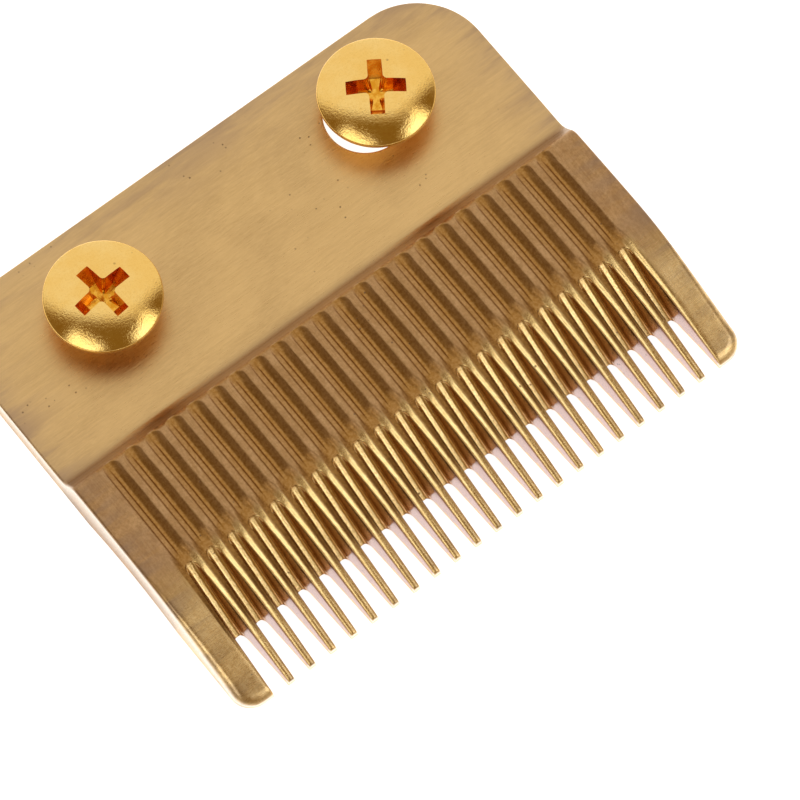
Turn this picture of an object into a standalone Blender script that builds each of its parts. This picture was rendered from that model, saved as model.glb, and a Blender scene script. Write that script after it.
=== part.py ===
"""Stationary half of a two-hole hair clipper blade, with its two fixing screws.

The blade lies on its inner face. The origin is on that face, midway between the two screw holes.
+X runs along the row of teeth, +Y points to the rear edge, so the teeth point to -Y, and +Z is up.
The screws stand loose in their oversize holes, on the same plane as the blade.
"""

import math

import bmesh
import bpy

MM = 0.001

# Blade, seen from above
BLADE_WIDTH = 41.8 * MM
REAR_EDGE_Y = 5.5 * MM
REAR_CORNER_RADIUS = 5.3 * MM
TOOTH_TIP_Y = -28.45 * MM
GUARD_CORNER_RADIUS = 1.5 * MM
HOLE_SPACING = 22.0 * MM
HOLE_RADIUS = 2.85 * MM

# Blade, seen from the side
PLATE_THICKNESS = 1.9 * MM
RIDGE_THICKNESS = 3.3 * MM
TIP_THICKNESS = 0.5 * MM
STEP_FOOT_Y = -8.5 * MM
CREST_Y = -10.2 * MM
BEVEL_START_Y = -17.0 * MM
BEVEL_END_Y = -22.6 * MM
HOLLOW_REAR_Y = -11.6 * MM
HOLLOW_FRONT_Y = -21.2 * MM
HOLLOW_DEPTH = 0.6 * MM

# Teeth, with a slot on either side of each, and a flute in line with each slot
TOOTH_COUNT = 21
TOOTH_PITCH = 1.7126 * MM
SLOT_TOP_Y = -18.66 * MM
SLOT_BREAKTHROUGH_Y = -23.84 * MM
SLOT_TOP_Z = 3.22 * MM
SLOT_FLOOR_HALF_WIDTH = 0.40 * MM
SLOT_FLOOR_CORNER = 0.10 * MM
SLOT_MOUTH_HALF_WIDTH = 0.67 * MM
SLOT_MOUTH_HEIGHT = 2.7 * MM
SLOT_CUTTER_HEIGHT = 8.0 * MM
SLOT_CUTTER_LENGTH = 16.0 * MM
FLUTE_HALF_WIDTH = 0.63 * MM
FLUTE_DEPTH = 0.35 * MM
FLUTE_REAR_Y = -10.05 * MM
FLUTE_LENGTH = 11.5 * MM

# Screws: truss head with a cross recess
SHANK_RADIUS = 1.75 * MM
SHANK_LENGTH = 4.0 * MM
SHANK_CHAMFER = 0.3 * MM
HEAD_RADIUS = 4.0 * MM
RIM_HEIGHT = 0.35 * MM
DOME_HEIGHT = 1.05 * MM
RECESS_DEPTH = 1.7 * MM
RECESS_TOP_HALF_SPAN = 2.45 * MM
RECESS_FLOOR_HALF_SPAN = 1.05 * MM
RECESS_TOP_ARM_WIDTH = 1.06 * MM
RECESS_FLOOR_ARM_WIDTH = 0.78 * MM
RECESS_CORE_TOP_RADIUS = 1.05 * MM
RECESS_CORE_FLOOR_RADIUS = 0.5 * MM

# Name, place on the blade and turn of the cross, for each screw
SCREWS = (
    ("left_screw", -11.38 * MM, -0.75 * MM, math.radians(6.0)),
    ("right_screw", 11.85 * MM, -0.12 * MM, math.radians(56.0)),
)

# Facets round each curved shape
ARC_STEPS = 8
SCREW_STEPS = 32
HOLE_STEPS = 48
FLUTE_STEPS = 16

BLADE_GOLD = (0.42, 0.27, 0.11)
SCREW_GOLD = (0.90, 0.52, 0.13)
WELD_DISTANCE = 0.000001


def clear_scene():
    for old in list(bpy.data.objects):
        bpy.data.objects.remove(old, do_unlink=True)


def add_collection(name):
    collection = bpy.data.collections.new(name)
    bpy.context.scene.collection.children.link(collection)
    return collection


def metal(name, colour, roughness):
    material = bpy.data.materials.new(name)
    material.use_nodes = True
    shader = material.node_tree.nodes["Principled BSDF"]
    shader.inputs["Base Color"].default_value = (*colour, 1.0)
    shader.inputs["Metallic"].default_value = 1.0
    shader.inputs["Roughness"].default_value = roughness
    return material


def add_object(name, mesh, collection):
    obj = bpy.data.objects.new(name, mesh)
    collection.objects.link(obj)
    return obj


def as_cutter(obj):
    obj.hide_render = True
    obj.display_type = "WIRE"
    return obj


def baked_mesh(obj):
    """The evaluated mesh of an object, in its own axes, with doubled points welded."""
    bpy.context.view_layer.update()
    evaluated = obj.evaluated_get(bpy.context.evaluated_depsgraph_get())
    mesh = bpy.data.meshes.new_from_object(evaluated)
    work = bmesh.new()
    work.from_mesh(mesh)
    bmesh.ops.remove_doubles(work, verts=work.verts, dist=WELD_DISTANCE)
    bmesh.ops.recalc_face_normals(work, faces=work.faces)
    work.to_mesh(mesh)
    work.free()
    return mesh


def flat_outline(name, points, thickness, rotation, location, collection):
    """A closed 2D outline, extruded to a solid of the given thickness about its own plane."""
    curve = bpy.data.curves.new(name, "CURVE")
    curve.dimensions = "2D"
    curve.fill_mode = "BOTH"
    curve.extrude = thickness / 2
    spline = curve.splines.new("POLY")
    spline.points.add(len(points) - 1)
    for spline_point, (across, up) in zip(spline.points, points):
        spline_point.co = (across, up, 0.0, 1.0)
    spline.use_cyclic_u = True
    flat = add_object(name + "_outline", curve, collection)
    flat.rotation_euler = rotation
    flat.location = location
    solid = add_object(name, baked_mesh(flat), collection)
    solid.matrix_world = flat.matrix_world
    bpy.data.objects.remove(flat, do_unlink=True)
    return solid


def turned(name, profile, steps, collection):
    """A profile at +X, listed from its top to its bottom, turned about Z."""
    mesh = bpy.data.meshes.new(name)
    corners = [(radius, 0.0, height) for radius, height in profile]
    mesh.from_pydata(corners, [(i, i + 1) for i in range(len(corners) - 1)], [])
    obj = add_object(name, mesh, collection)
    screw = obj.modifiers.new("turn", "SCREW")
    screw.steps = steps
    screw.render_steps = steps
    screw.use_merge_vertices = True
    screw.merge_threshold = WELD_DISTANCE
    return obj


def cut(obj, cutter, operation="DIFFERENCE"):
    boolean = obj.modifiers.new(cutter.name, "BOOLEAN")
    boolean.operation = operation
    boolean.solver = "EXACT"
    boolean.object = cutter


def arc(centre, radius, start, end, steps):
    """Points from one angle to the other, both in degrees, both ends included."""
    angles = [math.radians(start + (end - start) * i / steps) for i in range(steps + 1)]
    return [(centre[0] + radius * math.cos(a), centre[1] + radius * math.sin(a)) for a in angles]


def side_profile():
    """The blade's section as (y, z): plate, step, ridge, convex bevel, tip and hollow inner face."""
    rise = RIDGE_THICKNESS - PLATE_THICKNESS
    points = [(REAR_EDGE_Y, 0.0), (REAR_EDGE_Y, PLATE_THICKNESS)]
    for i in range(ARC_STEPS + 1):
        share = i / ARC_STEPS
        height = PLATE_THICKNESS + rise * (1 - math.cos(math.pi * share)) / 2
        points.append((STEP_FOOT_Y + (CREST_Y - STEP_FOOT_Y) * share, height))

    # The bevel starts level and bends on one arc until it meets its straight run to the tip.
    bend = BEVEL_START_Y - BEVEL_END_Y
    run = BEVEL_END_Y - TOOTH_TIP_Y
    drop = RIDGE_THICKNESS - TIP_THICKNESS
    slope = drop / (bend / 2 + run)
    for i in range(ARC_STEPS + 1):
        share = i / ARC_STEPS
        y = BEVEL_START_Y - bend * share
        points.append((y, RIDGE_THICKNESS - slope * bend * share * share / 2))
    points.append((TOOTH_TIP_Y, TIP_THICKNESS))
    points.append((TOOTH_TIP_Y, 0.0))

    half_chord = (HOLLOW_REAR_Y - HOLLOW_FRONT_Y) / 2
    radius = (half_chord**2 + HOLLOW_DEPTH**2) / (2 * HOLLOW_DEPTH)
    middle = (HOLLOW_REAR_Y + HOLLOW_FRONT_Y) / 2
    swing = math.degrees(math.asin(half_chord / radius))
    centre = (middle, HOLLOW_DEPTH - radius)
    points += arc(centre, radius, 90 + swing, 90 - swing, ARC_STEPS)
    return points


def plan_outline():
    """The blade from above as (x, y), anticlockwise from the front left corner."""
    side = BLADE_WIDTH / 2
    front = side - GUARD_CORNER_RADIUS
    front_y = TOOTH_TIP_Y + GUARD_CORNER_RADIUS
    rear = side - REAR_CORNER_RADIUS
    rear_y = REAR_EDGE_Y - REAR_CORNER_RADIUS
    return (
        arc((-front, front_y), GUARD_CORNER_RADIUS, 180, 270, ARC_STEPS)
        + arc((front, front_y), GUARD_CORNER_RADIUS, 270, 360, ARC_STEPS)
        + arc((rear, rear_y), REAR_CORNER_RADIUS, 0, 90, ARC_STEPS)
        + arc((-rear, rear_y), REAR_CORNER_RADIUS, 90, 180, ARC_STEPS)
    )


def slot_section():
    """The grinding wheel's section as (x, height above the slot's floor)."""
    floor = SLOT_FLOOR_HALF_WIDTH
    mouth = SLOT_MOUTH_HALF_WIDTH
    right = [
        (floor - SLOT_FLOOR_CORNER, 0.0),
        (floor, SLOT_FLOOR_CORNER),
        (mouth, SLOT_MOUTH_HEIGHT),
        (mouth, SLOT_CUTTER_HEIGHT),
    ]
    return right + [(-x, height) for x, height in reversed(right)]


def slot_positions():
    return [(i - TOOTH_COUNT / 2) * TOOTH_PITCH for i in range(TOOTH_COUNT + 1)]


def row_of_copies(name, single, collection):
    """One object that holds a copy of a cutter at every slot."""
    mesh = baked_mesh(single)
    mesh.transform(single.matrix_world)
    work = bmesh.new()
    for x in slot_positions():
        before = len(work.verts)
        work.from_mesh(mesh)
        work.verts.ensure_lookup_table()
        bmesh.ops.translate(work, verts=work.verts[before:], vec=(x, 0.0, 0.0))
    joined = bpy.data.meshes.new(name)
    work.to_mesh(joined)
    work.free()
    bpy.data.objects.remove(single, do_unlink=True)
    return as_cutter(add_object(name, joined, collection))


def slot_cutters(collection):
    fall = math.atan2(SLOT_TOP_Z, SLOT_TOP_Y - SLOT_BREAKTHROUGH_Y)
    turn = (math.pi / 2 + fall, 0.0, 0.0)
    place = (0.0, SLOT_BREAKTHROUGH_Y, 0.0)
    single = flat_outline("slot", slot_section(), SLOT_CUTTER_LENGTH, turn, place, collection)
    return row_of_copies("slot_cutters", single, collection)


def flute_cutters(collection):
    """Round-ended bars that lie along Y and dip into the ridge."""
    radius = (FLUTE_HALF_WIDTH**2 + FLUTE_DEPTH**2) / (2 * FLUTE_DEPTH)
    rounded = [(r, h) for r, h in arc((0.0, 0.0), radius, 90, 0, ARC_STEPS // 2)]
    rounded[0] = (0.0, radius)
    profile = rounded + [(radius, -FLUTE_LENGTH), (0.0, -FLUTE_LENGTH)]
    single = turned("flute", profile, FLUTE_STEPS, collection)
    single.rotation_euler = (-math.pi / 2, math.pi / FLUTE_STEPS, 0.0)
    height = RIDGE_THICKNESS - FLUTE_DEPTH + radius
    single.location = (0.0, FLUTE_REAR_Y - FLUTE_HALF_WIDTH, height)
    bpy.context.view_layer.update()
    return row_of_copies("flute_cutters", single, collection)


def hole_cutter(name, x, collection):
    bpy.ops.mesh.primitive_cylinder_add(
        vertices=HOLE_STEPS,
        radius=HOLE_RADIUS,
        depth=4 * PLATE_THICKNESS,
        location=(x, 0.0, PLATE_THICKNESS / 2),
    )
    obj = bpy.context.active_object
    obj.name = name
    for old in list(obj.users_collection):
        old.objects.unlink(obj)
    collection.objects.link(obj)
    return as_cutter(obj)


def make_blade(parts, cutters):
    upright = (math.pi / 2, 0.0, math.pi / 2)
    here = (0.0, 0.0, 0.0)
    wide = 2 * BLADE_WIDTH
    blade = flat_outline("fixed_blade", side_profile(), wide, upright, here, parts)
    tall = 4 * RIDGE_THICKNESS
    plan = flat_outline("blade_plan", plan_outline(), tall, here, here, cutters)
    cut(blade, as_cutter(plan), "INTERSECT")
    cut(blade, flute_cutters(cutters))
    cut(blade, slot_cutters(cutters))
    cut(blade, hole_cutter("left_hole", -HOLE_SPACING / 2, cutters))
    cut(blade, hole_cutter("right_hole", HOLE_SPACING / 2, cutters))
    blade.data.materials.append(metal("blade_gold", BLADE_GOLD, 0.38))


def screw_profile():
    """From the dome's top, over the rim and down the shank to the flat tip, as (radius, height)."""
    rim_top = SHANK_LENGTH + RIM_HEIGHT
    sphere = (HEAD_RADIUS**2 + DOME_HEIGHT**2) / (2 * DOME_HEIGHT)
    swing = math.degrees(math.asin(HEAD_RADIUS / sphere))
    centre = (0.0, rim_top + DOME_HEIGHT - sphere)
    dome = arc(centre, sphere, 90, 90 - swing, ARC_STEPS)
    dome[0] = (0.0, rim_top + DOME_HEIGHT)
    return dome + [
        (HEAD_RADIUS, SHANK_LENGTH),
        (SHANK_RADIUS, SHANK_LENGTH),
        (SHANK_RADIUS, SHANK_CHAMFER),
        (SHANK_RADIUS - SHANK_CHAMFER, 0.0),
        (0.0, 0.0),
    ]


def recess_cutters(name, collection):
    """Two tapered arms and a tapered core that sink from above the dome to the recess's floor."""
    dome_top = SHANK_LENGTH + RIM_HEIGHT + DOME_HEIGHT
    top = dome_top + RIM_HEIGHT
    floor = dome_top - RECESS_DEPTH
    cutters = []
    for label, turn in (("arm_a", 0.0), ("arm_b", math.pi / 2)):
        mesh = bpy.data.meshes.new(name + "_" + label)
        work = bmesh.new()
        bmesh.ops.create_cube(work, size=1.0)
        for vert in work.verts:
            lower = vert.co.z < 0
            vert.co.x *= 2 * (RECESS_FLOOR_HALF_SPAN if lower else RECESS_TOP_HALF_SPAN)
            vert.co.y *= RECESS_FLOOR_ARM_WIDTH if lower else RECESS_TOP_ARM_WIDTH
            vert.co.z = floor if lower else top
        work.to_mesh(mesh)
        work.free()
        cutters.append(as_cutter(add_object(mesh.name, mesh, collection)))
        cutters[-1].rotation_euler.z = turn
    core = [
        (0.0, top),
        (RECESS_CORE_TOP_RADIUS, top),
        (RECESS_CORE_FLOOR_RADIUS, floor),
        (0.0, floor - RECESS_CORE_FLOOR_RADIUS / 2),
    ]
    cutters.append(as_cutter(turned(name + "_core", core, ARC_STEPS, collection)))
    return cutters


def make_screw(name, x, y, turn, material, parts, cutters):
    """The screw's origin is on its own axis, at its tip."""
    screw = turned(name, screw_profile(), SCREW_STEPS, parts)
    screw.location = (x, y, 0.0)
    for cutter in recess_cutters(name, cutters):
        cutter.location = screw.location
        cutter.rotation_euler.z += turn
        cut(screw, cutter)
    screw.data.materials.append(material)
    screw.modifiers["turn"].use_smooth_shade = True


def main():
    clear_scene()
    parts = add_collection("clipper_blade")
    cutters = add_collection("cutters")
    make_blade(parts, cutters)
    screw_gold = metal("screw_gold", SCREW_GOLD, 0.18)
    for name, x, y, turn in SCREWS:
        make_screw(name, x, y, turn, screw_gold, parts, cutters)


main()
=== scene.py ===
import math

import bmesh
import bpy
import numpy as np
from mathutils import Matrix, Vector


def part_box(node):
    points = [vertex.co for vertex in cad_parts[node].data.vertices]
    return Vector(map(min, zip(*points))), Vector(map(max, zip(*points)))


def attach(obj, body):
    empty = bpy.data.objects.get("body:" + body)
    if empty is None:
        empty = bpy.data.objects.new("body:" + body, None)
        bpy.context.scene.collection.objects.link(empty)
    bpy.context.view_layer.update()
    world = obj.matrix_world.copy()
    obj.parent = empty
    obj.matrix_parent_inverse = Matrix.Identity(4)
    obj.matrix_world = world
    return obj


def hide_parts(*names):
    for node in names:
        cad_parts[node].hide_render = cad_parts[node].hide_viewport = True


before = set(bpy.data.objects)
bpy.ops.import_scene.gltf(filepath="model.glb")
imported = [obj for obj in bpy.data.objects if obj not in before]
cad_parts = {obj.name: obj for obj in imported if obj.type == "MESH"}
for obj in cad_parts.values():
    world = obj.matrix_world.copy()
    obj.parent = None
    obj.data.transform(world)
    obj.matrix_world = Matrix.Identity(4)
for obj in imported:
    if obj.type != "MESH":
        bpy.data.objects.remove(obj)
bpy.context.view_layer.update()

MM = 0.001

# ---------------------------------------------------------------- blade, in millimetres
HALF_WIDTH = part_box("fixed_blade")[1].x / MM
REAR_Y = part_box("fixed_blade")[1].y / MM
TIP_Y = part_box("fixed_blade")[0].y / MM
REAR_RADIUS = 5.3
FRONT_RADIUS = 1.5
PLATE_Z = 1.9
HOLE_X = 11.0
HOLE_RADIUS = 2.85

# Teeth: the distance between slots, their count, and the flutes that run into the slots
PITCH = 1.7126
TEETH = 21
FLUTE_DEPTH = 0.32
FLUTE_TOP = -9.95

# Slots: where the floor meets the inner face, its slope and bend, then the wheel's section
SLOT_END = -23.76
SLOT_SLOPE = 0.51
SLOT_BEND = 0.0113
WHEEL_FLAT = 0.10
WHEEL_CORNER = 0.30
WALL_DRAFT = math.tan(math.radians(4.7))
EDGE_ROUND = 0.10

# Rounding of the outer edge: its reach, its tallest share of the blade's height, and where the
# outline runs across the teeth and keeps the plain reach
EDGE_REACH = 0.16
EDGE_TALLEST = 0.62
ACROSS_TEETH_Y = -20.0
ACROSS_TEETH_X = 18.7

# What changes along Y, as (start, end, amount)
FLUTE_CHANGES = ((-17.5, -20.0, -0.12), (-23.0, -28.0, -0.10))
EDGE_ROUND_CHANGES = ((-20.0, -24.0, 0.06),)
EDGE_REACH_CHANGES = ((-6.0, -10.0, 0.10), (-16.0, -27.0, 0.42))

# Where one section of the groove gives way to the next, as (start, end) along Y
TOOTH_START = (-17.2, -18.5)
ARCH_START = (-11.2, -10.3)
ARCH_SHARE = 0.7
ARCH_HALF_WIDTH = 0.66

# The rounding between the flutes and the step behind them, and where it starts
STEP_BLEND = 0.14
STEP_BLEND_START = (-12.5, -11.0)

# The hollow ground into the inner face, and the block below the face that is cut away with it
HOLLOW_REAR = -11.6
HOLLOW_FRONT = -21.2
HOLLOW_DEPTH = 0.6
BLOCK_HALF_WIDTH = 24.0
BLOCK_REAR = 9.0
BLOCK_FRONT = -32.0
BLOCK_BOTTOM = -6.0

# Heights that lie below and above the whole blade
DEEP = -4.0
HIGH = 9.0

# Side profile of the upper face as (y, z)
PROFILE = (
    (-28.45, 0.50),
    (-27.1, 0.97),
    (-26.1, 1.31),
    (-24.4, 1.86),
    (-22.95, 2.30),
    (-21.6, 2.66),
    (-20.5, 2.91),
    (-19.2, 3.13),
    (-18.0, 3.26),
    (-16.2, 3.32),
    (-14.1, 3.34),
    (-12.0, 3.33),
    (-10.7, 3.32),
    (-10.3, 3.28),
    (-9.98, 3.12),
    (-9.55, 2.64),
    (-9.15, 2.20),
    (-8.75, 1.97),
    (-8.3, 1.905),
    (-7.8, 1.90),
    (5.5, 1.90),
)


def hermite(knots, x):
    """A smooth monotone curve through the knots, at each x."""
    kx = np.array([k[0] for k in knots])
    ky = np.array([k[1] for k in knots])
    step = np.diff(kx)
    slope = np.diff(ky) / step
    tangent = np.zeros(len(kx))
    tangent[0], tangent[-1] = slope[0], slope[-1]
    before, after = slope[:-1], slope[1:]
    same = before * after > 0
    tangent[1:-1] = np.where(same, 2 * before * after / np.where(same, before + after, 1), 0)
    i = np.clip(np.searchsorted(kx, x) - 1, 0, len(step) - 1)
    t = (x - kx[i]) / step[i]
    h = step[i]
    return (
        (2 * t**3 - 3 * t**2 + 1) * ky[i]
        + (t**3 - 2 * t**2 + t) * h * tangent[i]
        + (3 * t**2 - 2 * t**3) * ky[i + 1]
        + (t**3 - t**2) * h * tangent[i + 1]
    )


def smooth(low, high, x):
    """0 at low, 1 at high, with a gradual change between them."""
    t = np.clip((x - low) / (high - low), 0, 1)
    return t * t * (3 - 2 * t)


def along(base, changes, y):
    """A base value with gradual changes along Y."""
    value = base
    for start, end, amount in changes:
        value = value + amount * smooth(start, end, y)
    return value


# The same face without the step, which the flutes' depth is measured from
CREST = tuple(knot for knot in PROFILE if knot[0] < -13.0) + ((-12.0, 3.34), (5.5, 3.34))

# A flute's section as (distance from its middle, share of its depth), with two fine tool steps
# on its left
FLUTE_SECTION = (
    (-0.90, 0.0),
    (-0.76, 0.01),
    (-0.68, 0.03),
    (-0.63, 0.09),
    (-0.51, 0.46),
    (-0.46, 0.50),
    (-0.34, 0.53),
    (-0.26, 0.57),
    (-0.22, 0.63),
    (-0.13, 0.90),
    (-0.09, 0.96),
    (0.0, 1.0),
    (0.06, 0.99),
    (0.13, 0.92),
    (0.22, 0.78),
    (0.32, 0.61),
    (0.42, 0.44),
    (0.52, 0.24),
    (0.60, 0.10),
    (0.68, 0.02),
    (0.78, 0.0),
    (0.90, 0.0),
)

# The same groove's section at the slots, where the teeth have sloped flanks
TOOTH_SECTION = (
    (0.0, 1.0),
    (0.30, 1.0),
    (0.40, 0.93),
    (0.62, 0.49),
    (0.82, 0.07),
    (0.88, 0.0),
    (0.95, 0.0),
)


def edge_width(y):
    """How far the rounding of the outer edge reaches in from the outline."""
    return along(EDGE_REACH, EDGE_REACH_CHANGES, y)


def flute_depth(y):
    """Depth of the flutes, which run out towards the tips."""
    return along(FLUTE_DEPTH, FLUTE_CHANGES, y)


def top_height(y, across):
    """Upper face without the slots, at a signed distance from the nearest flute's middle."""
    face = hermite(PROFILE, y)
    section = hermite(FLUTE_SECTION, across)
    tooth = hermite(TOOTH_SECTION, np.abs(across))
    arch = np.clip(1 - (across / ARCH_HALF_WIDTH) ** 2, 0, 1)
    front = smooth(*TOOTH_START, y)
    rear = ARCH_SHARE * smooth(*ARCH_START, y)
    section = section * (1 - rear) + arch * rear
    groove = hermite(CREST, y) - flute_depth(y) * (section * (1 - front) + tooth * front)
    blend = STEP_BLEND * smooth(*STEP_BLEND_START, y) + 1e-4
    part = np.clip(0.5 + (groove - face) / blend, 0, 1)
    return groove * (1 - part) + face * part - 0.25 * blend * part * (1 - part)


def slot_floor(y):
    """Height of a slot's floor, which steepens towards the rear."""
    run = y - SLOT_END
    return SLOT_SLOPE * run + SLOT_BEND * np.clip(run, 0, None) ** 2


def slot_half_width(height):
    """Half width of a slot above its floor: a flat, a rounded corner, then a drafted wall."""
    low = np.clip(WHEEL_CORNER - height, 0, WHEEL_CORNER)
    corner = np.sqrt(WHEEL_CORNER**2 - low**2)
    return WHEEL_FLAT + corner + np.clip(height - WHEEL_CORNER, 0, None) * WALL_DRAFT


# The grid's columns over half a pitch: counts in the slot, then shares across the land beside it
COLUMNS = {"floor": 4, "corner": 8, "wall": 4, "edge": 5}
LAND_STEPS = (
    *(0.0, 0.05, 0.12, 0.20, 0.28, 0.35, 0.40, 0.45),
    *(0.50, 0.55, 0.60, 0.66, 0.76, 0.88, 1.0),
)
COLUMN_GAP = 0.006
LAND_GAP = 0.012
SOLVE_ROUNDS = 60
SHALLOWEST_SLOT = 1e-3


def half_section(y, side):
    """Points (across, height) from a slot's middle to the next land's middle, for each y."""
    y = y[:, None]
    floor_z = slot_floor(y)
    height = np.zeros_like(y)
    for _ in range(SOLVE_ROUNDS):
        rise = np.maximum(top_height(y, side * slot_half_width(height)) - floor_z, 0)
        height = 0.5 * height + 0.5 * rise
    height = np.where(height < SHALLOWEST_SLOT, 0, height)
    edge_x = slot_half_width(height)
    ease = np.minimum(along(EDGE_ROUND, EDGE_ROUND_CHANGES, y), 0.5 * height)
    ease_in = np.minimum(ease * 1.25, 0.55 * (PITCH / 2 - edge_x))
    wall_h = height - ease
    corner_h = np.minimum(wall_h, WHEEL_CORNER)

    def spread(name):
        n = COLUMNS[name]
        return (np.arange(n) / n)[None, :]

    xs, zs = [], []
    t = spread("floor")
    xs.append(WHEEL_FLAT * t + 0 * y)
    zs.append(floor_z + 0 * t)
    angle = np.arccos(np.clip(1 - corner_h / WHEEL_CORNER, -1, 1)) * spread("corner")
    xs.append(WHEEL_FLAT + WHEEL_CORNER * np.sin(angle))
    zs.append(floor_z + WHEEL_CORNER * (1 - np.cos(angle)))
    h = corner_h + (wall_h - corner_h) * spread("wall")
    xs.append(slot_half_width(h))
    zs.append(floor_z + h)
    t = spread("edge")
    low_x = slot_half_width(wall_h)
    land = edge_x + ease_in
    top = top_height(y, side * edge_x)
    land_z = top_height(y, side * land)
    xs.append((1 - t) ** 2 * low_x + 2 * t * (1 - t) * edge_x + t**2 * land)
    zs.append((1 - t) ** 2 * (floor_z + wall_h) + 2 * t * (1 - t) * top + t**2 * land_z)
    cutting = np.concatenate(xs, axis=1)
    for k in range(1, cutting.shape[1]):
        cutting[:, k] = np.maximum(cutting[:, k], cutting[:, k - 1] + COLUMN_GAP)
    land = np.maximum(land, cutting[:, -1:] + LAND_GAP)
    t = np.array(LAND_STEPS)[None, :]
    lands = land + (PITCH / 2 - land) * t
    x = np.concatenate((cutting, lands), axis=1)
    z = np.concatenate((*zs, np.full_like(lands, HIGH)), axis=1)
    whole = top_height(np.broadcast_to(y, x.shape), side * x)
    z = np.where(height > 0, np.minimum(z, whole), whole)
    return x, z


# The grid's rows between the rounded corners, as (where a band starts, rows in it)
FRONT_ROWS = 12
ROW_BANDS = (
    (-24.6, 16),
    (-23.2, 22),
    (-19.5, 30),
    (-18.4, 8),
    (-17.0, 14),
    (-11.6, 56),
    (-8.2, 12),
)
EDGE_BAND = 0.68
EDGE_INSETS = 9
GUARD_STEPS = 5


def row_positions(insets):
    """Y of each row, front to rear, finer where the surface bends."""
    widest = insets[-1]
    front_centre = TIP_Y + FRONT_RADIUS
    rear_centre = REAR_Y - REAR_RADIUS
    turn = np.radians(np.linspace(90, 0, 7))[:-1]
    front_arc = front_centre - (FRONT_RADIUS - widest) * np.sin(turn)
    rear_turn = np.radians(np.linspace(0, 90, 18))
    rear_arc = rear_centre + (REAR_RADIUS - widest) * np.sin(rear_turn)
    starts = [front_centre] + [start for start, _ in ROW_BANDS]
    counts = [FRONT_ROWS] + [count for _, count in ROW_BANDS]
    bands = [
        np.linspace(start, end, count, endpoint=False)
        for start, end, count in zip(starts, starts[1:] + [rear_centre], counts)
    ]
    front_edge = (TIP_Y + insets)[:-1]
    rear_edge = (REAR_Y - insets)[::-1][1:]
    return np.concatenate((front_edge, front_arc, *bands, rear_arc, rear_edge))


def inset_half_width(y, inset):
    """Half width at y of the outline moved inwards by inset."""
    side = HALF_WIDTH - inset
    for radius, over in (
        (FRONT_RADIUS, (TIP_Y + FRONT_RADIUS) - y),
        (REAR_RADIUS, y - (REAR_Y - REAR_RADIUS)),
    ):
        reach = np.clip(over, 0, None)
        arc = np.sqrt(np.clip((radius - inset) ** 2 - reach**2, 0, None))
        side = np.where(over > 0, np.minimum(side, HALF_WIDTH - radius + arc), side)
    return side


def outline_distance(x, y):
    """Distance from the outline, for points on or inside it."""
    x = np.abs(x)
    straight = np.minimum(HALF_WIDTH - x, np.minimum(y - TIP_Y, REAR_Y - y))
    for radius, over in (
        (FRONT_RADIUS, (TIP_Y + FRONT_RADIUS) - y),
        (REAR_RADIUS, y - (REAR_Y - REAR_RADIUS)),
    ):
        dx = x - (HALF_WIDTH - radius)
        inside = (dx > 0) & (over > 0)
        straight = np.where(inside, radius - np.hypot(dx, over), straight)
    return np.maximum(straight, 0)


def blade_grid():
    """Arrays x, y, z of the blade's upper surface, with its sides taken down to DEEP."""
    insets = EDGE_BAND * (1 - np.cos(np.radians(np.linspace(0, 90, EDGE_INSETS))))
    y = row_positions(insets)
    left_x, left_z = half_section(y, -1)
    right_x, right_z = half_section(y, 1)
    middle_x, middle_z = [], []
    slots = [(i - TEETH / 2) * PITCH for i in range(TEETH + 1)]
    for centre in slots:
        middle_x.append(centre - left_x[:, :0:-1])
        middle_z.append(left_z[:, :0:-1])
        middle_x.append(centre + right_x[:, :-1])
        middle_z.append(right_z[:, :-1])
    middle_x.append(slots[-1] + right_x[:, -1:])
    middle_z.append(right_z[:, -1:])
    middle_x = np.concatenate(middle_x, axis=1)
    middle_z = np.concatenate(middle_z, axis=1)
    last = middle_x[0, -1]
    bands = [inset_half_width(y, inset) for inset in insets]
    inner_band = bands[-1]
    shrink = np.minimum(1.0, (inner_band - 0.05) / last)
    middle_x = middle_x * shrink[:, None]
    guard = [
        last * shrink + (inner_band - last * shrink) * k / GUARD_STEPS
        for k in range(1, GUARD_STEPS)
    ]
    right_x = np.stack(guard + bands[::-1], axis=1)
    x = np.concatenate((-right_x[:, ::-1], middle_x, right_x), axis=1)
    flat = np.broadcast_to(top_height(y, PITCH / 2)[:, None], right_x.shape)
    z = np.concatenate((flat, middle_z, flat), axis=1)
    yy = np.broadcast_to(y[:, None], x.shape).copy()

    distance = outline_distance(x, yy)
    across_teeth = (yy < ACROSS_TEETH_Y) & (np.abs(x) < ACROSS_TEETH_X)
    reach = np.where(across_teeth, EDGE_REACH, edge_width(yy))
    tall = np.minimum(reach, EDGE_TALLEST * np.maximum(z, 0.3))
    share = np.clip(1 - distance / reach, 0, 1)
    z = z - tall * (1 - np.sqrt(np.clip(1 - share**2, 0, 1)))

    x = np.concatenate((x[:, :1], x, x[:, -1:]), axis=1)
    yy = np.concatenate((yy[:, :1], yy, yy[:, -1:]), axis=1)
    deep = np.full((len(y), 1), DEEP)
    z = np.concatenate((deep, z, deep), axis=1)
    x = np.concatenate((x[:1], x, x[-1:]), axis=0)
    yy = np.concatenate((yy[:1], yy, yy[-1:]), axis=0)
    z = np.concatenate((np.full_like(z[:1], DEEP), z, np.full_like(z[-1:], DEEP)), axis=0)
    return x, yy, z


def grid_faces(rows, columns):
    """Quads of a grid of points, and the one face that closes its rim."""
    index = np.arange(rows * columns).reshape(rows, columns)
    quads = np.stack(
        (index[:-1, :-1], index[:-1, 1:], index[1:, 1:], index[1:, :-1]), axis=-1
    ).reshape(-1, 4)
    sides = (index[0, :], index[1:, -1], index[-1, -2::-1], index[-2:0:-1, 0])
    rim = [int(i) for side in sides for i in side]
    return quads.tolist(), rim[::-1]


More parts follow.
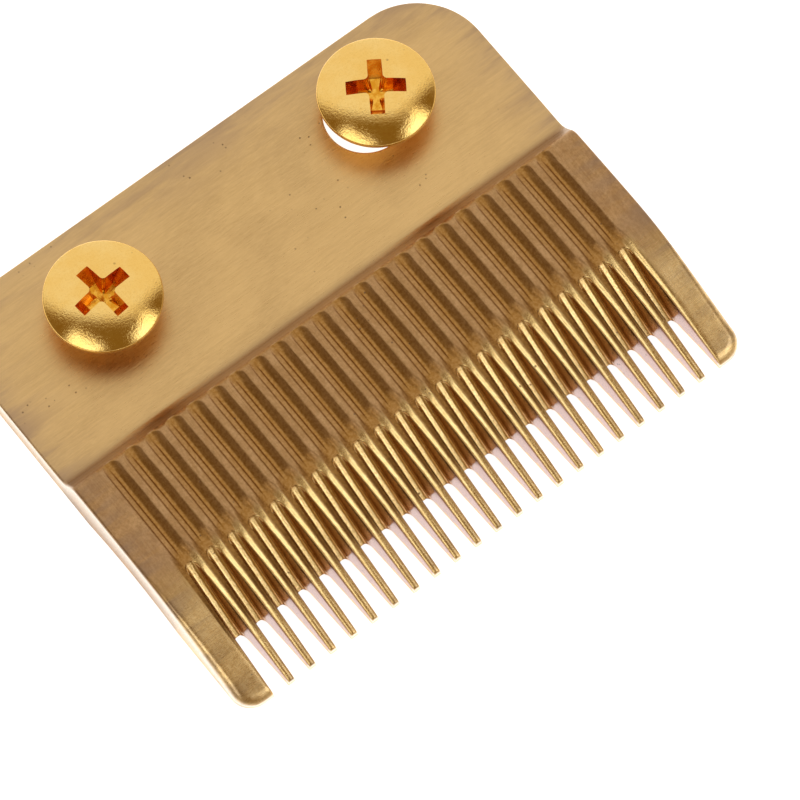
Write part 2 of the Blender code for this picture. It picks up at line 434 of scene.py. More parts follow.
def new_object(name, data):
    obj = bpy.data.objects.new(name, data)
    bpy.context.scene.collection.objects.link(obj)
    return obj


def mesh_from(name, points, faces):
    """A welded mesh with outward faces. Points are in millimetres."""
    mesh = bpy.data.meshes.new(name)
    mesh.from_pydata((np.asarray(points) * MM).tolist(), [], faces)
    work = bmesh.new()
    work.from_mesh(mesh)
    bmesh.ops.remove_doubles(work, verts=work.verts, dist=2e-7)
    bmesh.ops.dissolve_degenerate(work, edges=work.edges, dist=1e-7)
    bmesh.ops.recalc_face_normals(work, faces=work.faces)
    work.to_mesh(mesh)
    work.free()
    return mesh


def lathe(profile, segments):
    """Points and faces of a turned solid. Its profile of (radius, height) ends on the axis."""
    angles = np.linspace(0, 2 * math.pi, segments, endpoint=False)
    points, rings = [], []
    for radius, height in profile:
        if radius < 1e-9:
            rings.append([len(points)] * segments)
            points.append((0.0, 0.0, height))
            continue
        rings.append(list(range(len(points), len(points) + segments)))
        points += [(radius * math.cos(a), radius * math.sin(a), height) for a in angles]
    faces = []
    for upper, lower in zip(rings, rings[1:]):
        for i in range(segments):
            j = (i + 1) % segments
            corners = [upper[i], lower[i], lower[j], upper[j]]
            faces.append(list(dict.fromkeys(corners)))
    return np.array(points), faces


def cut(obj, cutter):
    """Cut the cutter out of the object, and delete the cutter."""
    modifier = obj.modifiers.new("cut", "BOOLEAN")
    modifier.operation = "DIFFERENCE"
    modifier.solver = "EXACT"
    modifier.object = cutter
    bpy.context.view_layer.update()
    result = bpy.data.meshes.new_from_object(
        obj.evaluated_get(bpy.context.evaluated_depsgraph_get())
    )
    obj.modifiers.clear()
    obj.data = result
    bpy.data.objects.remove(cutter, do_unlink=True)


def underside_cutter():
    """Everything below the inner face, with the long shallow hollow ground into it."""
    half = (HOLLOW_REAR - HOLLOW_FRONT) / 2
    radius = (half**2 + HOLLOW_DEPTH**2) / (2 * HOLLOW_DEPTH)
    swing = math.asin(half / radius)
    middle = (HOLLOW_REAR + HOLLOW_FRONT) / 2
    centre_z = HOLLOW_DEPTH - radius
    angles = np.linspace(swing, -swing, 33)
    arc = [(middle + radius * math.sin(a), centre_z + radius * math.cos(a)) for a in angles]
    behind = [(BLOCK_REAR, BLOCK_BOTTOM), (BLOCK_REAR, 0.0)]
    ahead = [(BLOCK_FRONT, 0.0), (BLOCK_FRONT, BLOCK_BOTTOM)]
    outline = behind + arc + ahead
    sides = (-BLOCK_HALF_WIDTH, BLOCK_HALF_WIDTH)
    points = [(x, py, pz) for x in sides for py, pz in outline]
    n = len(outline)
    faces = [list(range(n)), list(range(2 * n - 1, n - 1, -1))]
    faces += [[i, i + n, (i + 1) % n + n, (i + 1) % n] for i in range(n)]
    return new_object("cut_under", mesh_from("cut_under", points, faces))


def hole_cutter(x):
    """A mounting hole, with its rims eased at both faces."""
    r = HOLE_RADIUS
    profile = [
        (0, 4.0),
        (r + 2.15, 4.0),
        (r + 0.10, PLATE_Z - 0.05),
        (r + 0.03, PLATE_Z - 0.10),
        (r, PLATE_Z - 0.18),
        (r, 0.15),
        (r + 0.03, 0.07),
        (r + 0.1, 0.0),
        (r + 2.1, -2.0),
        (0, -2.0),
    ]
    points, faces = lathe(profile, 96)
    cutter = new_object("cut_hole", mesh_from("cut_hole", points, faces))
    cutter.location.x = x * MM
    return cutter


def smooth_shading(mesh, angle):
    """Smooth faces, with sharp edges above an angle in degrees."""
    mesh.polygons.foreach_set("use_smooth", [True] * len(mesh.polygons))
    mesh.set_sharp_from_angle(angle=math.radians(angle))


def vertex_array(mesh):
    """Positions of the vertices, in millimetres."""
    co = np.zeros(len(mesh.vertices) * 3)
    mesh.vertices.foreach_get("co", co)
    return co.reshape(-1, 3) / MM


def add_attribute(mesh, name, values, domain="POINT"):
    attribute = mesh.attributes.new(name, "FLOAT", domain)
    attribute.data.foreach_set("value", np.asarray(values, np.float32))


def add_uv(mesh, scale_mm):
    """UV along X and Y, so that the brushing has a direction."""
    layer = mesh.uv_layers.new(name="brush")
    co = vertex_array(mesh)
    index = np.zeros(len(mesh.loops), np.int64)
    mesh.loops.foreach_get("vertex_index", index)
    uv = co[index][:, :2] / scale_mm
    layer.data.foreach_set("uv", uv.astype(np.float32).ravel())


# Where each zone of the blade's finish starts and ends along Y, in the teeth and on the guards
TEETH_ZONE = (-8.9, -10.2)
TEETH_BEVEL = (-18.0, -19.6)
TEETH_FRONT = (-20.0, -25.5)
GUARD_BEVEL = (-16.5, -22.5)
GUARD_FRONT = (-19.0, -23.5)
THROUGH_ZONE = (-23.2, -24.2)
SLOTS_FRONT_OF = -18.4
WALLS_FRONT_OF = -18.5
BORDER_REACH = 1.6

# Painted shade: the darker band along the step, where shade falls: its middle and its spread
STEP_MIDDLE = -9.25
STEP_SPREAD = 0.55

# Painted shade on the grooves' steep and right-facing faces, and a painted highlight on their
# left-facing faces: strength, X part of the normal, fade in, fade out
STEEP = (0.45, (0.22, 0.52), (-18.4, -17.6), (-10.2, -12.0))
SHADED = (0.85, (0.08, 0.32), (-17.6, -18.6), (-25.5, -23.0))
LIT = (0.9, (0.10, 0.30), (-18.0, -19.0))


def leaning(values, lean, y):
    """How far a face leans sideways, faded along Y."""
    strength, lean_range, *fades = values
    result = strength * smooth(*lean_range, lean)
    for fade in fades:
        result = result * smooth(*fade, y)
    return result


def blade_attributes(mesh):
    """Values at each point that tell the blade's material what it is on."""
    x, y, z = vertex_array(mesh).T
    normals = np.zeros(len(mesh.vertices) * 3)
    mesh.vertex_normals.foreach_get("vector", normals)
    lean, _, up = normals.reshape(-1, 3).T
    crest = hermite(CREST, y)
    in_teeth = (np.abs(x) < (TEETH + 1) * PITCH / 2) & (y < FLUTE_TOP)
    below_groove = smooth(0.02, 0.10, crest - z - flute_depth(y))
    # Painted shade on the steep faces of the flutes and on the teeth's right-facing flanks
    flank_shading = leaning(STEEP, np.abs(lean), y) + leaning(SHADED, lean, y)
    return {
        "flank_shade_mask": np.clip(flank_shading, 0, 1) * in_teeth,
        # painted highlight on the teeth's left-facing flanks
        "lit": leaning(LIT, -lean, y) * in_teeth,
        # painted shade, stronger deeper in the flutes
        "groove": np.clip((crest - z) / FLUTE_DEPTH, 0, 1) * in_teeth,
        # slot floors, painted lighter as a highlight
        "slot": below_groove * in_teeth * (y < SLOTS_FRONT_OF),
        "upright": smooth(0.75, 0.30, np.abs(up)) * (1 - in_teeth * (y > WALLS_FRONT_OF)),
        # where the slot walls go through, painted with a reflection of the shaded floor
        "through": smooth(*THROUGH_ZONE, y),
        "inside": np.where(in_teeth & (y > TIP_Y + 0.3), 1.0, 0.0),
        "border": np.exp(-outline_distance(x, y) / BORDER_REACH),
        "teeth_zone": smooth(*TEETH_ZONE, y),
        "bevel_zone": np.where(in_teeth, smooth(*TEETH_BEVEL, y), smooth(*GUARD_BEVEL, y)),
        "front_zone": np.where(in_teeth, smooth(*TEETH_FRONT, y), smooth(*GUARD_FRONT, y)),
        # painted shade along the step
        "step_zone": np.exp(-(((y - STEP_MIDDLE) / STEP_SPREAD) ** 2)),
    }


def build_blade():
    """The whole blade: its upper surface and sides, then the underside and both holes cut."""
    x, y, z = blade_grid()
    quads, rim = grid_faces(*x.shape)
    points = np.stack((x, y, z), axis=-1).reshape(-1, 3)
    blade = new_object("blade_body", mesh_from("blade_body", points, quads + [rim]))
    cut(blade, underside_cutter())
    cut(blade, hole_cutter(-HOLE_X))
    cut(blade, hole_cutter(HOLE_X))
    smooth_shading(blade.data, 38)
    for name, values in blade_attributes(blade.data).items():
        add_attribute(blade.data, name, values)
    add_uv(blade.data, 10.0)
    blade.data.materials.append(MATERIALS["blade"])
    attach(blade, "blade")
    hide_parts("fixed_blade")


# ---------------------------------------------------------------- screws, in millimetres
SCREW_TURNS = {"left_screw": 6.0, "right_screw": 56.0}
HEAD_RADIUS = 4.0
HEAD_SEAT = 4.0
RIM = 0.35
RIM_EASE = 0.15
DOME = 1.05
THREAD_RADIUS = 1.74
THREAD_ROOT = 1.30
THREAD_PITCH = 0.79
NECK = 3.45
DOME_RADIUS = (HEAD_RADIUS**2 + DOME**2) / (2 * DOME)
DOME_CENTRE = HEAD_SEAT + RIM + DOME - DOME_RADIUS


def head_profile():
    """Half section of a head: the dome, its eased rim, the seat and a short neck."""
    top = []
    for rho in np.linspace(0, HEAD_RADIUS - RIM_EASE, 34):
        top.append((rho, DOME_CENTRE + math.sqrt(DOME_RADIUS**2 - rho**2)))
    lip = top[-1][1]
    for a in np.radians((38, 50, 62, 76)):
        rho = HEAD_RADIUS - RIM_EASE + RIM_EASE * math.sin(a)
        top.append((rho, lip - RIM_EASE * (1 - math.cos(a)) - 0.01))
    top += [
        (HEAD_RADIUS, lip - RIM_EASE - 0.02),
        (HEAD_RADIUS, HEAD_SEAT + 0.09),
        (HEAD_RADIUS - 0.03, HEAD_SEAT + 0.03),
        (HEAD_RADIUS - 0.09, HEAD_SEAT),
        (THREAD_ROOT + 0.35, HEAD_SEAT),
        (THREAD_ROOT + 0.18, HEAD_SEAT - 0.06),
        (THREAD_ROOT + 0.08, HEAD_SEAT - 0.2),
        (THREAD_ROOT + 0.05, NECK),
        (THREAD_ROOT - 0.05, NECK - 0.5),
        (0, NECK - 0.5),
    ]
    return top


def cross_outline(span, arm, fillet, per_fillet=5):
    """A four-armed cross with rounded inner corners, anticlockwise."""
    points = []
    for quarter in range(4):
        turn = quarter * math.pi / 2
        corner = [(span, -arm), (span, -arm * 0.34), (span, arm * 0.34), (span, arm)]
        centre = (arm + fillet, arm + fillet)
        for k in range(per_fillet + 1):
            a = -math.pi / 2 - (math.pi / 2) * k / per_fillet
            corner.append((centre[0] + fillet * math.cos(a), centre[1] + fillet * math.sin(a)))
        c, s = math.cos(turn), math.sin(turn)
        points += [(px * c - py * s, px * s + py * c) for px, py in corner]
    return points


# The recess from the dome's top down: height, arm length, half the arm's width, corner radius
RECESS_LEVELS = (
    (0.60, 2.42, 0.54, 0.34),
    (-0.24, 2.03, 0.49, 0.28),
    (-1.25, 1.42, 0.42, 0.20),
    (-1.50, 1.16, 0.36, 0.16),
    (-1.62, 0.50, 0.22, 0.08),
)
RECESS_REACH = 2.3
DOME_TOLERANCE = 0.012
DOME_EDGE = 0.17


def recess_cutter(turn):
    """The cross recess: tapered arms, then a blunt cone."""
    top = HEAD_SEAT + RIM + DOME
    points, faces = [], []
    for rise, span, arm, fillet in RECESS_LEVELS:
        points += [(px, py, top + rise) for px, py in cross_outline(span, arm, fillet)]
    n = len(points) // len(RECESS_LEVELS)
    faces.append(list(range(n)))
    faces.append(list(range(len(points) - 1, len(points) - n - 1, -1)))
    for level in range(len(RECESS_LEVELS) - 1):
        a, b = level * n, (level + 1) * n
        faces += [[a + (i + 1) % n, a + i, b + i, b + (i + 1) % n] for i in range(n)]
    cutter = new_object("cut_recess", mesh_from("cut_recess", points, faces))
    cutter.rotation_euler.z = turn
    return cutter


def mark_faces(mesh):
    """Mark the faces cut by the recess, where painted shade goes, and those of the head's seat,
    painted lighter so that their reflection in the plate glows, for the material.
    """
    recess, under = [], []
    for polygon in mesh.polygons:
        middle = polygon.center / MM
        rho = math.hypot(middle.x, middle.y)
        sunk = DOME_CENTRE + math.sqrt(max(DOME_RADIUS**2 - rho**2, 0)) - middle.z
        central = rho < RECESS_REACH and middle.z > HEAD_SEAT - 0.6
        recess.append(float(central and (sunk > 0.02 or polygon.normal.z < 0.75)))
        above_neck = polygon.center.z > (HEAD_SEAT - 0.1) * MM
        under.append(float(polygon.normal.z < -0.5 and above_neck))
    add_attribute(mesh, "recess", recess, "FACE")
    add_attribute(mesh, "under", under, "FACE")


def sphere_normals(mesh):
    """Exact normals on the dome, so that its polished reflections have no facets."""
    centre = Vector((0, 0, DOME_CENTRE * MM))
    mesh.update()
    normals = [n.vector.copy() for n in mesh.corner_normals]
    for polygon in mesh.polygons:
        middle = polygon.center
        from_centre = middle - centre
        on_dome = abs(from_centre.length - DOME_RADIUS * MM) < DOME_TOLERANCE * MM
        rho = math.hypot(middle.x, middle.y) / MM
        outward = polygon.normal.dot(from_centre.normalized()) > 0.985
        if on_dome and outward and rho < HEAD_RADIUS - DOME_EDGE:
            for loop in polygon.loop_indices:
                vertex = mesh.vertices[mesh.loops[loop].vertex_index].co
                normals[loop] = (vertex - centre).normalized()
    mesh.normals_split_custom_set(normals)


THREAD_AROUND = 72
THREAD_ALONG = 96
THREAD_RUNOUT = 0.5
TIP_CHAMFER = 0.40


def thread_mesh(name):
    """The shank: a right-hand thread with a chamfered tip, which runs out below the neck."""
    heights = np.linspace(0.0, NECK, THREAD_ALONG + 1)
    angles = np.linspace(0, 2 * math.pi, THREAD_AROUND, endpoint=False)
    z, turn = np.meshgrid(heights, angles, indexing="ij")
    phase = (z / THREAD_PITCH - turn / (2 * math.pi)) % 1.0
    tooth = np.clip(1.25 - np.abs(phase - 0.5) * 3.2, 0, 1)
    fade = smooth(NECK, NECK - THREAD_RUNOUT, z)
    radius = THREAD_ROOT + (THREAD_RADIUS - THREAD_ROOT) * tooth * fade
    radius = np.minimum(radius, THREAD_RADIUS - TIP_CHAMFER + z)
    points = np.stack((radius * np.cos(turn), radius * np.sin(turn), z), axis=-1).reshape(-1, 3)
    index = np.arange(points.shape[0]).reshape(THREAD_ALONG + 1, THREAD_AROUND)
    right = np.roll(index, -1, axis=1)
    quads = np.stack((index[:-1], right[:-1], right[1:], index[1:]), axis=-1).reshape(-1, 4)
    faces = quads.tolist() + [index[0][::-1].tolist(), index[-1].tolist()]
    mesh = mesh_from(name, points, faces)
    smooth_shading(mesh, 35)
    return mesh


def build_screw(node, turn):
    """A screw's head and threaded shank, where its CAD node stands."""
    low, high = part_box(node)
    place = Vector(((low.x + high.x) / 2, (low.y + high.y) / 2, 0.0))
    points, faces = lathe(head_profile(), 128)
    head = new_object(node + "_head", mesh_from(node + "_head", points, faces))
    cut(head, recess_cutter(turn))
    smooth_shading(head.data, 30)
    mark_faces(head.data)
    sphere_normals(head.data)
    head.location = place
    shank = new_object(node + "_thread", thread_mesh(node + "_thread"))
    shank.location = place
    for piece in (head, shank):
        piece.data.materials.append(MATERIALS["screw"])
        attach(piece, node)
    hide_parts(node)


# ---------------------------------------------------------------- materials
class Nodes:
    """Short calls for building a material's node tree."""

    def __init__(self, name):
        self.material = bpy.data.materials.new(name)
        self.material.use_nodes = True
        self.tree = self.material.node_tree
        self.shader = self.tree.nodes["Principled BSDF"]

    def add(self, kind, **settings):
        node = self.tree.nodes.new(kind)
        for key, value in settings.items():
            setattr(node, key, value)
        return node

    def link(self, source, target):
        self.tree.links.new(source, target)

    def put(self, socket, value):
        """Link a socket's value, or set a plain one."""
        if isinstance(value, bpy.types.NodeSocket):
            self.link(value, socket)
        else:
            socket.default_value = value

    def coords(self, scale, rotation=(0, 0, 0)):
        """Object coordinates in millimetres, scaled."""
        source = self.add("ShaderNodeTexCoord")
        mapping = self.add("ShaderNodeMapping")
        mapping.inputs["Scale"].default_value = [s / MM for s in scale]
        mapping.inputs["Rotation"].default_value = rotation
        self.link(source.outputs["Object"], mapping.inputs["Vector"])
        return mapping.outputs["Vector"]

    def noise(self, vector, detail, rough=0.55, distortion=0.0):
        node = self.add("ShaderNodeTexNoise")
        self.put(node.inputs["Vector"], vector)
        node.inputs["Scale"].default_value = 1.0
        node.inputs["Detail"].default_value = detail
        node.inputs["Roughness"].default_value = rough
        node.inputs["Distortion"].default_value = distortion
        return node.outputs["Fac"]

    def spots(self, vector, scale, low, high):
        """1 inside small round spots, 0 between them."""
        node = self.add("ShaderNodeTexVoronoi")
        self.put(node.inputs["Vector"], vector)
        node.inputs["Scale"].default_value = scale
        return self.ramp(node.outputs["Distance"], low, high, 1.0, 0.0)

    def ramp(self, value, low, high, out_low=0.0, out_high=1.0):
        node = self.add("ShaderNodeMapRange", interpolation_type="SMOOTHSTEP")
        self.put(node.inputs["Value"], value)
        node.inputs["From Min"].default_value = low
        node.inputs["From Max"].default_value = high
        node.inputs["To Min"].default_value = out_low
        node.inputs["To Max"].default_value = out_high
        return node.outputs["Result"]

    def math(self, operation, a, b=0.0):
        node = self.add("ShaderNodeMath", operation=operation)
        self.put(node.inputs[0], a)
        self.put(node.inputs[1], b)
        return node.outputs[0]

    def scaled(self, value, share):
        return self.math("MULTIPLY", value, share)

    def attribute(self, name):
        return self.add("ShaderNodeAttribute", attribute_name=name).outputs["Fac"]

    def mix(self, factor, a, b):
        node = self.add("ShaderNodeMix", data_type="RGBA")
        self.put(node.inputs["Factor"], factor)
        for socket, value in ((node.inputs[6], a), (node.inputs[7], b)):
            self.put(socket, value if isinstance(value, bpy.types.NodeSocket) else (*value, 1.0))
        return node.outputs[2]

    def bump(self, height, strength, distance, normal=None):
        node = self.add("ShaderNodeBump")
        self.put(node.inputs["Height"], height)
        node.inputs["Strength"].default_value = strength
        node.inputs["Distance"].default_value = distance * MM
        if normal is not None:
            self.link(normal, node.inputs["Normal"])
        return node.outputs["Normal"]


# Colours of the blade, as (where a pattern is low, where it is high) or as one wash laid over
BLADE_COLOURS = {
    "plate": ((0.60, 0.372, 0.148), (0.70, 0.440, 0.175)),
    "ridge": ((0.41, 0.215, 0.080), (0.50, 0.280, 0.120)),
    "front": ((0.40, 0.230, 0.078), (0.50, 0.310, 0.120)),
    "tips": ((0.88, 0.570, 0.235), (1.0, 0.700, 0.330)),
    # painted shade in the flutes
    "hollow": ((0.34, 0.150, 0.026), (0.44, 0.220, 0.058)),
    # painted shade for the steep and right-facing flanks
    "flank_shade": ((0.20, 0.078, 0.010), (0.33, 0.150, 0.034)),
    # painted highlight for the left-facing flanks
    "flank_highlight": ((0.79, 0.515, 0.190), (0.90, 0.630, 0.270)),
    # slot floors painted lighter, a painted highlight
    "slot_floor": ((0.80, 0.510, 0.190), (0.97, 0.670, 0.300)),
    # painted shade on the slot walls that don't go through
    "blind_wall_shade": ((0.31, 0.175, 0.070), (0.44, 0.270, 0.135)),
    "outer_wall": ((0.80, 0.70, 0.59), (0.90, 0.82, 0.72)),
}
# Painted reflection: the lilac-grey of the shaded floor, seen in the slot walls that go through
THROUGH_WALL_REFLECTION = (0.655, 0.490, 0.455)
PLATE_BRIGHT = (0.80, 0.52, 0.22)
PLATE_STREAK = (0.44, 0.255, 0.085)
PLATE_SMUDGE = (0.36, 0.215, 0.125)
PLATE_BORDER = (0.50, 0.34, 0.20)
RIDGE_BRIGHT = (0.55, 0.33, 0.14)
RIDGE_SPECK = (0.26, 0.13, 0.045)
RIDGE_DULL = (0.27, 0.17, 0.11)
# painted shade along the step
STEP_SHADE = (0.29, 0.170, 0.080)
BLADE_PIT = (0.12, 0.075, 0.045)


def blade_material():
    """Brushed gold coating, darker and rougher where the attributes say so, with painted shade
    in the flutes, on steep flanks, along the step and on blind slot walls, painted highlights on
    left-facing flanks and slot floors, and a painted reflection on the walls that go through.
    """
    n = Nodes("blade_gold_brushed")
    fine = n.noise(n.coords((1.7, 15.0, 15.0), (0, 0, math.radians(8.0))), 4.0, 0.65)
    streak = n.noise(n.coords((0.30, 6.0, 6.0), (0, 0, math.radians(4.0))), 4.0, 0.6)
    coarse = n.noise(n.coords((0.15, 0.8, 0.8)), 4.0, 0.6, 0.4)
    cloud = n.noise(n.coords((0.12, 0.16, 0.16)), 4.0, 0.6, 0.6)
    speck = n.noise(n.coords((5.0, 5.0, 5.0)), 4.0, 0.7)
    mottle = n.noise(n.coords((0.9, 0.6, 0.9)), 4.0, 0.65, 0.5)
    cutting = n.noise(n.coords((9.0, 0.35, 9.0)), 4.0, 0.65, 0.3)
    pit_zone = n.ramp(n.noise(n.coords((0.25, 0.25, 0.25)), 3.0), 0.56, 0.66)
    pits = n.math("MULTIPLY", n.spots(n.coords((1.0, 1.0, 1.0)), 1.6, 0.05, 0.14), pit_zone)
    border = n.attribute("border")
    teeth = n.attribute("teeth_zone")
    bevel = n.attribute("bevel_zone")
    front_zone = n.attribute("front_zone")

    def shade(name, pattern, low, high):
        return n.mix(n.ramp(pattern, low, high), *BLADE_COLOURS[name])

    plate = shade("plate", cloud, 0.35, 0.65)
    plate = n.mix(n.scaled(n.ramp(fine, 0.35, 0.72), 0.55), plate, PLATE_BRIGHT)
    plate = n.mix(n.scaled(n.ramp(streak, 0.56, 0.34), 0.16), plate, PLATE_STREAK)
    smudge = n.math("MULTIPLY", border, n.ramp(coarse, 0.38, 0.66))
    plate = n.mix(n.scaled(smudge, 0.85), plate, PLATE_SMUDGE)
    plate = n.mix(n.scaled(border, 0.35), plate, PLATE_BORDER)

    ridge = shade("ridge", mottle, 0.35, 0.68)
    ridge = n.mix(n.scaled(n.ramp(cutting, 0.38, 0.68), 0.45), ridge, RIDGE_BRIGHT)
    ridge = n.mix(n.scaled(n.ramp(speck, 0.58, 0.40), 0.35), ridge, RIDGE_SPECK)
    front = shade("front", cutting, 0.35, 0.68)
    tips = shade("tips", cutting, 0.35, 0.68)
    ridge = n.mix(bevel, ridge, n.mix(front_zone, front, tips))
    dull = n.math("MULTIPLY", border, n.ramp(coarse, 0.40, 0.66))
    ridge = n.mix(n.scaled(dull, 0.7), ridge, RIDGE_DULL)

    colour = n.mix(teeth, plate, ridge)
    # Painted shade along the step
    colour = n.mix(n.scaled(n.attribute("step_zone"), 0.72), colour, STEP_SHADE)
    # Painted shade in the flutes, with less of it on the bevel
    groove_share = n.math("SUBTRACT", 0.85, n.scaled(bevel, 0.5))
    groove_shade = n.math("MULTIPLY", n.ramp(n.attribute("groove"), 0.10, 0.9), groove_share)
    colour = n.mix(groove_shade, colour, shade("hollow", speck, 0.38, 0.66))
    # Painted shade on the steep and right-facing flanks
    colour = n.mix(n.attribute("flank_shade_mask"), colour, shade("flank_shade", speck, 0.36, 0.66))
    # Painted highlight on the left-facing flanks
    colour = n.mix(n.attribute("lit"), colour, shade("flank_highlight", cutting, 0.35, 0.68))
    # Slot floors painted a lighter gold, a painted highlight
    colour = n.mix(n.attribute("slot"), colour, shade("slot_floor", cutting, 0.35, 0.68))
    # Slot walls: painted shade where they don't go through, a painted reflection of the shaded
    # floor where they do
    flank = n.mix(n.attribute("through"), shade("blind_wall_shade", cutting, 0.35, 0.65), THROUGH_WALL_REFLECTION)
    walls = n.mix(n.attribute("inside"), shade("outer_wall", streak, 0.35, 0.65), flank)
    colour = n.mix(n.attribute("upright"), colour, walls)
    colour = n.mix(n.scaled(pits, 0.75), colour, BLADE_PIT)
    n.link(colour, n.shader.inputs["Base Color"])
    n.shader.inputs["Metallic"].default_value = 1.0

    rough = n.ramp(fine, 0.3, 0.75, 0.27, 0.36)
    rough = n.math("ADD", rough, n.scaled(border, 0.06))
    rough = n.math("ADD", rough, n.scaled(teeth, 0.03))
    rough = n.math("SUBTRACT", rough, n.scaled(bevel, 0.17))
    rough = n.math("ADD", rough, n.scaled(front_zone, 0.08))
    n.link(rough, n.shader.inputs["Roughness"])
    n.shader.inputs["Anisotropic"].default_value = 0.35
    tangent = n.add("ShaderNodeTangent", direction_type="UV_MAP", uv_map="brush")
    n.link(tangent.outputs["Tangent"], n.shader.inputs["Tangent"])

    brushed = n.math("SUBTRACT", 1.0, n.scaled(teeth, 0.8))
    normal = n.bump(n.math("MULTIPLY", fine, brushed), 0.55, 0.018)
    normal = n.bump(n.math("MULTIPLY", streak, brushed), 0.25, 0.020, normal)
    normal = n.bump(n.math("MULTIPLY", cutting, teeth), 0.45, 0.012, normal)
    normal = n.bump(speck, 0.40, 0.010, normal)
    normal = n.bump(mottle, 0.25, 0.030, normal)
    normal = n.bump(pits, 0.6, -0.03, normal)
    n.link(normal, n.shader.inputs["Normal"])
    return n.material


SCREW_GOLD = ((0.94, 0.575, 0.150), (0.97, 0.640, 0.205))
# painted shade: a darker, deeper orange in the recess
SCREW_RECESS_SHADE = ((0.74, 0.300, 0.018), (0.95, 0.500, 0.070))
SCREW_GRAIN = (0.80, 0.42, 0.075)
# painted light: the head's underside lightened, so that its reflection in the plate glows
SCREW_UNDER_GLOW = (0.99, 0.76, 0.38)
SCREW_PIT = (0.30, 0.17, 0.05)


def screw_material():
    """Polished gold with fine grain, small dents, a deeper colour painted in the recess as
    shade, and a painted glow on the head's underside.
    """
    n = Nodes("screw_gold_polished")
    cloud = n.noise(n.coords((0.35, 0.35, 0.35)), 4.0, 0.6)
    grain = n.noise(n.coords((6.5, 6.5, 6.5)), 3.0, 0.75)
    dent = n.noise(n.coords((1.6, 1.6, 1.6)), 3.0, 0.6)
    pit_zone = n.ramp(n.noise(n.coords((0.5, 0.5, 0.5)), 2.0), 0.50, 0.60)
    pits = n.math("MULTIPLY", n.spots(n.coords((1.0, 1.0, 1.0)), 0.9, 0.04, 0.12), pit_zone)
    recess = n.attribute("recess")

    colour = n.mix(n.ramp(cloud, 0.35, 0.65), *SCREW_GOLD)
    colour = n.mix(n.scaled(n.ramp(grain, 0.55, 0.35), 0.25), colour, SCREW_GRAIN)
    # Painted shade in the recess
    colour = n.mix(recess, colour, n.mix(n.ramp(dent, 0.40, 0.62), *SCREW_RECESS_SHADE))
    # Painted light on the head's underside, for the glow reflected in the plate
    colour = n.mix(n.attribute("under"), colour, SCREW_UNDER_GLOW)
    colour = n.mix(n.scaled(pits, 0.7), colour, SCREW_PIT)
    n.link(colour, n.shader.inputs["Base Color"])
    n.shader.inputs["Metallic"].default_value = 1.0

    rough = n.ramp(dent, 0.3, 0.75, 0.06, 0.13)
    rough = n.math("ADD", rough, n.scaled(recess, 0.07))
    n.link(rough, n.shader.inputs["Roughness"])
    normal = n.bump(grain, 0.9, 0.011)
    normal = n.bump(dent, 0.35, 0.012, normal)
    normal = n.bump(cloud, 0.3, 0.02, normal)
    normal = n.bump(pits, 0.6, -0.02, normal)
    n.link(normal, n.shader.inputs["Normal"])
    return n.material


MATERIALS = {"blade": blade_material(), "screw": screw_material()}


# ---------------------------------------------------------------- camera, in millimetres
AZIMUTH = math.radians(-38.04)
ELEVATION = math.radians(67.95)
FOCAL_MM = 240.4
AIM_Y = -9.6
ASIDE = 5.093
ALONG_UP = -5.245
BACK = 354.87


def add_camera():
    """The camera looks along its angles at a point beside the blade's middle."""
    data = bpy.data.cameras.new("camera")
    camera = new_object("camera", data)
    forward = Vector(
        (
            -math.sin(AZIMUTH) * math.cos(ELEVATION),
            math.cos(AZIMUTH) * math.cos(ELEVATION),
            -math.sin(ELEVATION),
        )
    )
    right = forward.cross(Vector((0, 0, 1))).normalized()
    up = right.cross(forward)
    centre = Vector((0, AIM_Y, 0)) + right * ASIDE + up * ALONG_UP - forward * BACK
    rotation = Matrix((right, up, -forward)).transposed()
    camera.matrix_world = Matrix.Translation(centre * MM) @ rotation.to_4x4()
    data.sensor_width = 36.0
    data.lens = FOCAL_MM
    data.clip_start = 0.02
    data.clip_end = 10.0
    bpy.context.scene.camera = camera


# ---------------------------------------------------------------- stage and light
# The floor, in metres, just below the inner face
FLOOR_HALF_SIZE = 3.0
FLOOR_Z = -0.00002


def add_floor():
    """A plain white floor that gives off a little light of its own."""
    mesh = bpy.data.meshes.new("floor")
    corners = ((-1, -1), (1, -1), (1, 1), (-1, 1))
    points = [(px * FLOOR_HALF_SIZE, py * FLOOR_HALF_SIZE, FLOOR_Z) for px, py in corners]
    mesh.from_pydata(points, [], [(0, 1, 2, 3)])
    floor = new_object("floor", mesh)
    n = Nodes("floor_white")
    n.shader.inputs["Base Color"].default_value = (0.85, 0.85, 0.85, 1.0)
    n.shader.inputs["Roughness"].default_value = 0.9
    n.shader.inputs["Specular IOR Level"].default_value = 0.0
    n.shader.inputs["Emission Color"].default_value = (1.0, 1.0, 1.0, 1.0)
    n.shader.inputs["Emission Strength"].default_value = 0.85
    floor.data.materials.append(n.material)


# A bright tent above and behind, as (direction, edge from, edge to), cut off beside the camera
TENT = 0.92
TENT_TOP = ((0.616, 0.788, 0.75), 0.57, 0.70)
TENT_CUT = ((-0.19, 1.0, 0.36), -0.05, 0.04)

# Two soft boxes: direction, half width and half height at a distance of 1, strength
SOFT_BOXES = (
    ((-0.611, -0.199, 0.766), 0.30, 0.20, 2.05),
    ((0.418, -0.555, 0.719), 0.27, 0.20, 2.05),
)
BOX_EDGE = 0.035

# Fill light near the horizon, and the colour of the dark parts between the lights
LOW_FILL = 0.50
LOW_FILL_EDGE = (0.52, 0.30)
SHADE_TINT = (0.225, 0.145, 0.045)


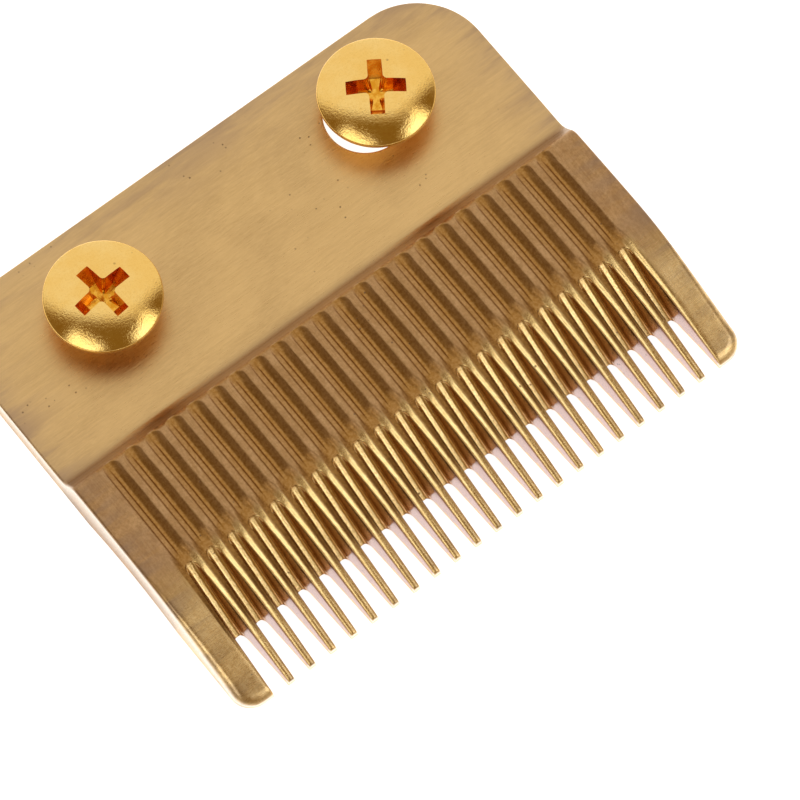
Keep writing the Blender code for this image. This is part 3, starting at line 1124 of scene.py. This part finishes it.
def add_world():
    """Soft studio light, made of masks by direction."""
    world = bpy.data.worlds.new("studio")
    bpy.context.scene.world = world
    world.use_nodes = True
    tree = world.node_tree
    background = tree.nodes["Background"]
    coords = tree.nodes.new("ShaderNodeTexCoord").outputs["Generated"]

    def node_math(operation, a, b=0.0):
        node = tree.nodes.new("ShaderNodeMath")
        node.operation = operation
        for socket, value in zip(node.inputs, (a, b)):
            if isinstance(value, bpy.types.NodeSocket):
                tree.links.new(value, socket)
            else:
                socket.default_value = value
        return node.outputs[0]

    def dot(direction):
        node = tree.nodes.new("ShaderNodeVectorMath")
        node.operation = "DOT_PRODUCT"
        tree.links.new(coords, node.inputs[0])
        node.inputs[1].default_value = direction
        return node.outputs["Value"]

    def step(value, low, high):
        node = tree.nodes.new("ShaderNodeMapRange")
        node.interpolation_type = "SMOOTHSTEP"
        tree.links.new(value, node.inputs["Value"])
        node.inputs["From Min"].default_value = low
        node.inputs["From Max"].default_value = high
        return node.outputs["Result"]

    top, cut_off = [step(dot(aim), low, high) for aim, low, high in (TENT_TOP, TENT_CUT)]
    tent = node_math("MULTIPLY", top, cut_off)
    height = dot((0.0, 0.0, 1.0))
    fill = node_math("MULTIPLY", step(height, *LOW_FILL_EDGE), LOW_FILL / TENT)
    total = node_math("MAXIMUM", tent, fill)
    for direction, wide, tall, strength in SOFT_BOXES:
        aim = Vector(direction).normalized()
        side = aim.cross(Vector((0, 0, 1))).normalized()
        rise = side.cross(aim)
        ahead = dot(aim)
        masks = step(ahead, 0.2, 0.3)
        for axis, half in ((side, wide), (rise, tall)):
            offset = node_math("DIVIDE", dot(axis), node_math("MAXIMUM", ahead, 0.05))
            offset = node_math("ABSOLUTE", offset)
            edge = step(offset, half + BOX_EDGE, half - BOX_EDGE)
            masks = node_math("MULTIPLY", masks, edge)
        total = node_math("ADD", total, node_math("MULTIPLY", masks, strength / TENT))
    lit = tree.nodes.new("ShaderNodeMapRange")
    lit.data_type = "FLOAT_VECTOR"
    lit.clamp = False
    tree.links.new(total, lit.inputs[6])
    lit.inputs[9].default_value = SHADE_TINT
    lit.inputs[10].default_value = (TENT, TENT, TENT)
    tree.links.new(lit.outputs[1], background.inputs["Color"])
    background.inputs["Strength"].default_value = 1.0


add_camera()
add_floor()
add_world()
bpy.context.scene.view_settings.view_transform = "Standard"

build_blade()
for node, turn in SCREW_TURNS.items():
    build_screw(node, math.radians(turn))
